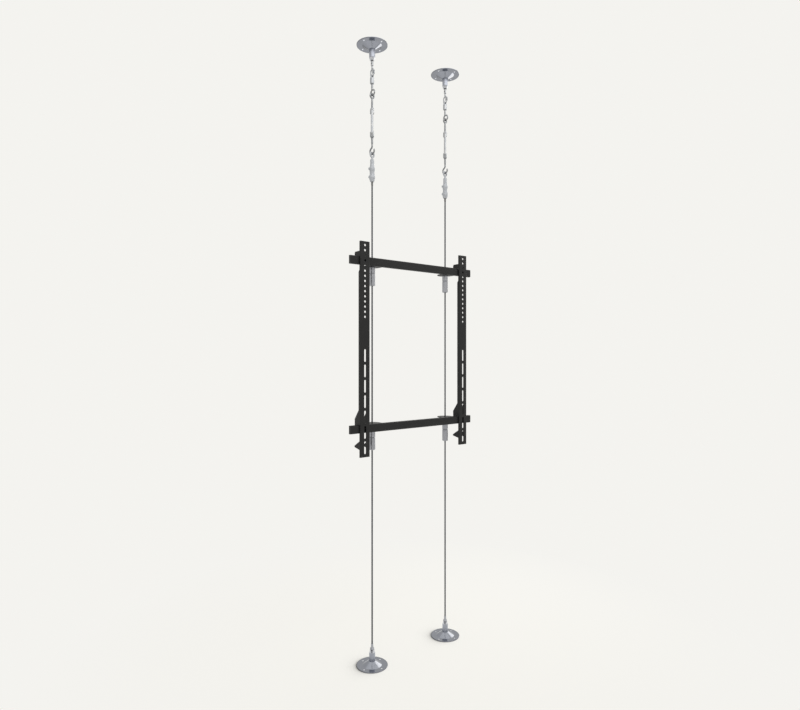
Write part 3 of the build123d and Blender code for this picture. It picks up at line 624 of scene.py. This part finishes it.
@dataclass
class TensionChain:
    """Snap hook, swivel, turnbuckle and end clamp above one cable.

    Args:
        side: which cable it belongs to.
        screw_radius: root radius of the turnbuckle's thread in metres.
        thread_height: how far the thread stands out in metres.
        thread_pitch: rise of the thread in one turn in metres.
        thread_crest: where the flat crest starts and ends, as shares of the pitch.
        thread_steps: sides of one turn of the thread.
        eye_thread: how far the upper thread reaches above the frame in metres.
        hook_thread: how far the lower thread reaches below the frame in metres.
        boss_gap: thread left off next to a boss, outside the frame, in metres.
        tip_gap: thread left off at a screw's tip in metres.
        boss_length: length of a threaded boss in metres.
        travel_room: thread left off next to a boss, for the screw's travel, in metres.
    """

    side: Side
    screw_radius: float = 2.99 * MM
    thread_height: float = 0.22 * MM
    thread_pitch: float = 1.0 * MM
    thread_crest: Span = (0.42, 0.58)
    thread_steps: int = 20
    eye_thread: float = 20.0 * MM
    hook_thread: float = 16.0 * MM
    boss_gap: float = 0.3 * MM
    tip_gap: float = 0.5 * MM
    boss_length: float = 19.0 * MM
    travel_room: float = 3.6 * MM

    ZINC_NODES = ("snap_hook", "snap_gate", "swivel_bail", "swivel_collar", "turnbuckle_frame")
    ROD_NODES = ("swivel_ring", "turnbuckle_eye", "turnbuckle_hook")
    # Distance within which the thread's turns are joined, as a share of the pitch
    MERGE_SHARE = 0.02

    def thread(self, name: str, body: str, low: float, high: float) -> bpy.types.Object:
        """Winds one stretch of screw thread round the rod.

        Args:
            name: the piece's name.
            body: the CAD body that carries the rod.
            low: height of the thread's lower end in metres.
            high: height of the thread's upper end in metres.

        Returns:
            The threaded piece.
        """
        low_box, high_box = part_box(f"turnbuckle_frame_{self.side.value}")
        axis = (low_box + high_box) / 2
        turns = int((high - low) / self.thread_pitch)
        crest_radius = self.screw_radius + self.thread_height
        crest_start, crest_end = self.thread_crest
        profile = (
            (self.screw_radius, 0.0),
            (crest_radius, self.thread_pitch * crest_start),
            (crest_radius, self.thread_pitch * crest_end),
            (self.screw_radius, self.thread_pitch),
        )
        mesh = bmesh.new()
        ridge = [mesh.verts.new((axis.x + reach, axis.y, low + rise)) for reach, rise in profile]
        edges = [mesh.edges.new(pair) for pair in zip(ridge, ridge[1:])]
        bmesh.ops.spin(mesh, geom=ridge + edges, cent=axis, axis=(0, 0, 1),
                       dvec=(0, 0, self.thread_pitch / self.thread_steps),
                       angle=2 * math.pi * turns, steps=turns * self.thread_steps)
        bmesh.ops.remove_doubles(mesh, verts=mesh.verts, dist=self.thread_pitch * self.MERGE_SHARE)
        open_edges = [edge for edge in mesh.edges if edge.is_boundary]
        bmesh.ops.holes_fill(mesh, edges=open_edges, sides=0)
        return new_piece(name, mesh, body)

    def build(self, finishes: Finishes) -> None:
        """Winds the threads that show on both screws of the turnbuckle.

        Args:
            finishes: the mount's finishes.
        """
        side = self.side.value
        eye = f"turnbuckle_eye_{side}"
        hook = f"turnbuckle_hook_{side}"
        bottom, top = (corner.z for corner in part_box(f"turnbuckle_frame_{side}"))
        eye_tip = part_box(eye)[0].z + self.tip_gap
        hook_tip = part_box(hook)[1].z - self.tip_gap
        inset = self.boss_length + self.travel_room
        stretches = (
            (f"eye_thread_outer_{side}", eye, top + self.boss_gap, top + self.eye_thread),
            (f"eye_thread_inner_{side}", eye, eye_tip, top - inset),
            (f"hook_thread_outer_{side}", hook, bottom - self.hook_thread, bottom - self.boss_gap),
            (f"hook_thread_inner_{side}", hook, bottom + inset, hook_tip),
        )
        for name, body, low, high in stretches:
            coat(self.thread(name, body, low, high), finishes.rod_zinc)
            LOG.info("%s wound", name)

    def dress(self, finishes: Finishes) -> None:
        """Gives the links and clamps their finishes.

        Args:
            finishes: the mount's finishes.
        """
        side = self.side.value
        coat_nodes([f"{piece}_{side}" for piece in self.ZINC_NODES], finishes.zinc)
        coat_nodes([f"{piece}_{side}" for piece in self.ROD_NODES], finishes.rod_zinc)
        coat_nodes([f"end_clamp_{side}"], finishes.blasted)
        coat_nodes([f"clamp_boot_{side}"], finishes.sleeve)
        LOG.info("tension chain %s dressed", side)


@dataclass
class WireRope:
    """Stranded steel cable between the end clamp and the floor terminal.

    Args:
        side: which cable it is.
        diameter: outer diameter in metres.
        lay: length of one full turn of a strand in metres.
        strands: strands round the core.
        strands_across: strands side by side across the cable, with the core.
        steps: steps in one turn of a strand.
        sides: sides of one strand.
    """

    side: Side
    diameter: float = 5.0 * MM
    lay: float = 34.0 * MM
    strands: int = 6
    strands_across: int = 3
    steps: int = 12
    sides: int = 8

    def route(self, low: Vector, high: Vector) -> list[Vector]:
        """Reads the cable's taut line from its spline.

        Args:
            low: lower end of the cable.
            high: upper end of the cable.

        Returns:
            Points along the line, from the top down.
        """
        curve = bpy.data.curves.new(f"rope_route_{self.side.value}", "CURVE")
        curve.dimensions = "3D"
        spline = curve.splines.new("NURBS")
        stations = [high, (low + high) / 2, low]
        spline.points.add(len(stations) - 1)
        for point, station in zip(spline.points, stations):
            point.co = (*station, 1.0)
        spline.order_u = 3
        spline.use_endpoint_u = True
        holder = bpy.data.objects.new(curve.name, curve)
        line = bpy.data.meshes.new_from_object(holder)
        points = [vertex.co.copy() for vertex in line.vertices]
        bpy.data.objects.remove(holder)
        bpy.data.meshes.remove(line)
        bpy.data.curves.remove(curve)
        return points

    def twist(self, low: Vector, length: float) -> bmesh.types.BMesh:
        """Twists the strands round a straight core.

        Args:
            low: lower end of the cable.
            length: length of the cable in metres.

        Returns:
            The rope's geometry.
        """
        strand_radius = self.diameter / (2 * self.strands_across)
        strand_reach = self.diameter / 2 - strand_radius
        turns = length / self.lay
        count = round(turns * self.steps)
        slope = math.atan2(2 * math.pi * strand_reach, self.lay)
        foot = Matrix.Translation(low)
        aside = foot @ Matrix.Translation((strand_reach, 0, 0)) @ Matrix.Rotation(-slope, 4, "X")
        mesh = bmesh.new()
        ring = bmesh.ops.create_circle(mesh, cap_ends=True, segments=self.sides, radius=strand_radius,
                                       matrix=aside)["verts"]
        bmesh.ops.spin(mesh, geom=list(ring) + mesh.edges[:] + mesh.faces[:], cent=low, axis=(0, 0, 1),
                       dvec=(0, 0, length / count), angle=2 * math.pi * turns, steps=count)
        strand = mesh.verts[:] + mesh.edges[:] + mesh.faces[:]
        for number in range(1, self.strands):
            copied = bmesh.ops.duplicate(mesh, geom=strand)["geom"]
            bmesh.ops.rotate(mesh, verts=[v for v in copied if isinstance(v, bmesh.types.BMVert)], cent=low,
                             matrix=Matrix.Rotation(2 * math.pi * number / self.strands, 3, "Z"))
        ring = bmesh.ops.create_circle(mesh, cap_ends=True, segments=self.sides, radius=strand_radius,
                                       matrix=foot)["verts"]
        disc = list({face for vert in ring for face in vert.link_faces})
        top = bmesh.ops.extrude_face_region(mesh, geom=disc)["geom"]
        bmesh.ops.translate(mesh, verts=[v for v in top if isinstance(v, bmesh.types.BMVert)],
                            vec=(0, 0, length))
        return mesh

    def build(self, finishes: Finishes) -> None:
        """Makes the rope and puts it in the place of the plain cable.

        Args:
            finishes: the mount's finishes.
        """
        node = f"cable_{self.side.value}"
        low_box, high_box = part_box(node)
        middle = (low_box + high_box) / 2
        low = Vector((middle.x, middle.y, low_box.z))
        high = Vector((middle.x, middle.y, high_box.z))
        points = self.route(low, high)
        length = (points[0] - points[-1]).length
        rope = new_piece(f"wire_rope_{self.side.value}", self.twist(low, length), "base")
        coat(rope, finishes.wire)
        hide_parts(node)
        LOG.info("wire rope %s: %.3f m", self.side.value, length)


@dataclass
class RailSet:
    """Rails and the grippers that hold them on the cables.

    Args:
        levels: the rails.
        sides: the cables that each rail is held on.
    """

    levels: tuple[Level, ...] = (Level.UPPER, Level.LOWER)
    sides: tuple[Side, ...] = (Side.LEFT, Side.RIGHT)

    GRIPPER_NODES = ("gripper_cap", "gripper_body", "collet")

    def dress(self, finishes: Finishes) -> None:
        """Gives the rails and grippers their finishes.

        Args:
            finishes: the mount's finishes.
        """
        for level in self.levels:
            coat_nodes([f"rail_{level.value}"], finishes.black)
            for side in self.sides:
                place = f"{level.value}_{side.value}"
                coat_nodes([f"{piece}_{place}" for piece in self.GRIPPER_NODES], finishes.nickel)
        LOG.info("rails and grippers dressed")


@dataclass
class HookBracket:
    """Folded upright that hooks on both rails.

    Args:
        side: which bracket it is.
    """

    side: Side

    def dress(self, finishes: Finishes) -> None:
        """Gives the bracket its powder coat."""
        coat_nodes([f"bracket_{self.side.value}"], finishes.black)
        LOG.info("bracket %s dressed", self.side.value)


@dataclass(frozen=True)
class SoftLamp:
    """A soft rectangular lamp.

    Args:
        name: the lamp's name.
        place: where it hangs, in metres.
        aim: the point that it faces.
        width: its width in metres.
        height: its height in metres.
        power: its power in watts.
        colour: colour of its light.
    """

    name: str
    place: tuple[float, float, float]
    aim: tuple[float, float, float]
    width: float
    height: float
    power: float
    colour: Colour = WHITE

    def build(self) -> None:
        """Hangs the lamp."""
        data = bpy.data.lights.new(self.name, "AREA")
        data.shape = "RECTANGLE"
        data.size = self.width
        data.size_y = self.height
        data.energy = self.power
        data.color = self.colour
        lamp = bpy.data.objects.new(self.name, data)
        lamp.location = self.place
        lamp.visible_camera = False
        facing = Vector(self.aim) - Vector(self.place)
        lamp.rotation_euler = facing.to_track_quat("-Z", "Y").to_euler()
        bpy.context.scene.collection.objects.link(lamp)


@dataclass
class Studio:
    """Pale floor, plain background and soft lamps.

    Args:
        paper: colour of the background that the camera and the metal see.
        ambient: strength of the light that the background gives to dull surfaces.
        dim_side: direction of the dim side of the studio, which only the metal shows.
        dim_span: how far towards that side the dimming starts and is full, as dot products.
        dimming: how much darker that side is, from 0 to 1.
        floor_in_metal: brightness of the near floor as the metal shows it.
        far_in_metal: brightness of the far floor as the metal shows it.
        metal_span: distances between which the near floor turns into the far floor, in metres.
        floor_reach: half the floor's width in metres.
        floor_shift: how far the floor's middle lies to the side, so that its diagonal is out of view.
        shadow_span: distances from the middle between which the floor's shadow fades, in metres.
        shadow_share: share of the floor's shadow that shows near the middle, from 0 to 1.
        lit_side: direction of the light that the plates keep off the floor beside them.
        contact_reach: how far the painted shadow beside a plate reaches, in metres.
        contact_span: share of open sky at which that shadow is full and has gone.
        contact_samples: rays that look for a plate beside each point of the floor.
        painted_shadow_colour: colour of the painted shadow on the floor at the plate's edge.
        plate_radius: radius of a floor plate in metres, within which the floor shows through the holes.
    """

    paper: Paint = (0.905, 0.897, 0.865, 1.0)
    ambient: float = 0.84
    dim_side: tuple[float, float, float] = (0.30, 0.954, 0.0)
    dim_span: Span = (0.0, 0.9)
    dimming: float = 0.20
    floor_in_metal: float = 1.09
    far_in_metal: float = 0.50
    metal_span: Span = (0.8, 9.0)
    floor_reach: float = 40.0
    floor_shift: float = 12.0
    shadow_span: Span = (0.25, 1.1)
    shadow_share: float = 0.5
    lit_side: tuple[float, float, float] = (0.88, -0.36, 0.30)
    contact_reach: float = 0.055
    contact_span: Span = (0.58, 0.97)
    contact_samples: int = 16
    painted_shadow_colour: Paint = (0.17, 0.17, 0.165, 1.0)
    plate_radius: float = 47.0 * MM

    LAMPS = (
        SoftLamp("key_lamp", place=(1.6, 0.35, 1.45), aim=(0.0, 0.0, 0.95), width=1.0, height=2.2,
                 power=11.0, colour=(1.0, 0.97, 0.90)),
        SoftLamp("top_lamp", place=(0.0, 0.2, 3.4), aim=(0.0, 0.0, 0.95), width=4.0, height=4.0, power=10.0),
        SoftLamp("fill_lamp", place=(-0.14, -1.6, 3.1), aim=(-0.14, 0.0, 3.0), width=6.0, height=1.7,
                 power=38.0),
    )

    def seen_directly(self, graph: Graph) -> Socket:
        """Tells the rays that show the studio from those that only light the mount.

        Args:
            graph: the nodes of the world or the floor.

        Returns:
            1 for camera, glossy and transmission rays, and 0 for others.
        """
        path = graph.add("LightPath").outputs
        first = graph.math("MAXIMUM", path["Is Camera Ray"], path["Is Glossy Ray"])
        return graph.math("MAXIMUM", first, path["Is Transmission Ray"])

    def build_world(self) -> None:
        """Sets the background."""
        world = bpy.data.worlds.new("studio")
        world.use_nodes = True
        bpy.context.scene.world = world
        graph = Graph(world.node_tree)
        strength = graph.ramp(self.seen_directly(graph), UNIT, self.ambient, 1.0)
        turned = graph.dot(graph.add("TexCoord").outputs["Generated"], self.dim_side)
        dim = graph.ramp(turned, self.dim_span, 0.0, self.dimming)
        reflected = graph.add("LightPath").outputs["Is Glossy Ray"]
        kept = graph.math("SUBTRACT", 1.0, graph.math("MULTIPLY", dim, reflected))
        sky = graph.add("Background", Color=self.paper, Strength=graph.math("MULTIPLY", strength, kept))
        graph.add("OutputWorld", Surface=sky.outputs[0])

    def floor_colour(self, graph: Graph, place: Socket) -> tuple[Socket, Socket]:
        """Works out the floor's colour, with a painted shadow where a piece stands close by on its lit side.

        Args:
            graph: the floor's material.
            place: the place on the floor.

        Returns:
            The colour, and 1 outside the plates or 0 under them.
        """
        side = graph.add("CombineXYZ", X=self.lit_side[0], Y=self.lit_side[1], Z=self.lit_side[2]).outputs[0]
        # Little open sky towards the lit side darkens the floor's colour: a painted shadow
        clear = graph.add("AmbientOcclusion", {"samples": self.contact_samples},
                          Distance=self.contact_reach, Normal=side).outputs["AO"]
        inside = graph.math("LESS_THAN", graph.from_cable(place), self.plate_radius)
        bright = graph.math("MAXIMUM", inside, graph.ramp(clear, self.contact_span, 0.0, 1.0))
        return graph.blend(bright, self.painted_shadow_colour, self.paper), graph.math("SUBTRACT", 1.0, inside)

    def floor_material(self) -> bpy.types.Material:
        """Makes the floor's paper, which keeps the object's shadow and fades into the background.

        Returns:
            The floor's material.
        """
        material = bpy.data.materials.new("studio_paper")
        material.use_nodes = True
        graph = Graph(material.node_tree)
        place = graph.place()
        distance = graph.length(place)
        reflected = graph.add("LightPath").outputs["Is Glossy Ray"]
        colour, outside = self.floor_colour(graph, place)
        plain = graph.add("BsdfDiffuse", Color=self.paper).outputs[0]
        lit = graph.add("BsdfDiffuse", Color=colour).outputs[0]
        mirrored = graph.ramp(distance, self.metal_span, self.floor_in_metal, self.far_in_metal)
        glow = graph.add("Emission", Color=colour,
                         Strength=graph.ramp(reflected, UNIT, 1.0, mirrored)).outputs[0]
        near = graph.ramp(distance, self.shadow_span, self.shadow_share, 0.0)
        share = graph.math("MULTIPLY", near, graph.math("SUBTRACT", 1.0, reflected))
        share = graph.math("MULTIPLY", share, outside)
        paper = graph.add("MixShader", i0=share, i1=glow, i2=lit).outputs[0]
        mixed = graph.add("MixShader", i0=self.seen_directly(graph), i1=plain, i2=paper).outputs[0]
        graph.add("OutputMaterial", Surface=mixed)
        return material

    def build_floor(self) -> None:
        """Lays the pale floor."""
        mesh = bmesh.new()
        aside = Matrix.Translation((self.floor_shift, 0, 0))
        bmesh.ops.create_grid(mesh, x_segments=1, y_segments=1, size=self.floor_reach, matrix=aside)
        data = bpy.data.meshes.new("studio_floor")
        mesh.to_mesh(data)
        mesh.free()
        floor = bpy.data.objects.new("studio_floor", data)
        bpy.context.scene.collection.objects.link(floor)
        coat(floor, self.floor_material())

    def build(self) -> None:
        """Sets the background, the floor and the lamps."""
        self.build_world()
        self.build_floor()
        for lamp in self.LAMPS:
            lamp.build()
        LOG.info("studio set")


@dataclass
class PhotoCamera:
    """Level camera at the photograph's place.

    Args:
        place: the camera's position in metres.
        heading: direction that it looks in, in degrees from +X.
        lens: focal length in millimetres.
        sensor: width of the sensor in millimetres.
        clip: nearest and farthest distance in metres.
    """

    place: tuple[float, float, float] = (-1.184, -1.430, 0.935)
    heading: float = 51.4
    lens: float = 26.3
    sensor: float = 36.0
    clip: Span = (0.05, 60.0)

    def build(self) -> None:
        """Makes the camera and puts it in use."""
        data = bpy.data.cameras.new("photo_camera")
        data.sensor_fit = "HORIZONTAL"
        data.sensor_width = self.sensor
        data.lens = self.lens
        data.clip_start, data.clip_end = self.clip
        camera = bpy.data.objects.new("photo_camera", data)
        camera.location = self.place
        camera.rotation_euler = (math.radians(90), 0, math.radians(self.heading - 90))
        bpy.context.scene.collection.objects.link(camera)
        bpy.context.scene.camera = camera


def main() -> None:
    """Builds and dresses the whole mount, then sets the studio and the camera."""
    logging.basicConfig(level=logging.INFO, format="%(message)s")
    bpy.context.scene.view_settings.view_transform = "Standard"
    PhotoCamera().build()
    finishes = Finishes()
    for side in Side:
        WireRope(side).build(finishes)
        Anchorage(side).dress(finishes)
        chain = TensionChain(side)
        chain.dress(finishes)
        chain.build(finishes)
        HookBracket(side).dress(finishes)
    RailSet().dress(finishes)
    coat_nodes(["fork_pins", "gate_pins"], finishes.zinc)
    coat_nodes(["clamp_screws"], finishes.blasted)
    Studio().build()


if __name__ == "__main__":
    main()
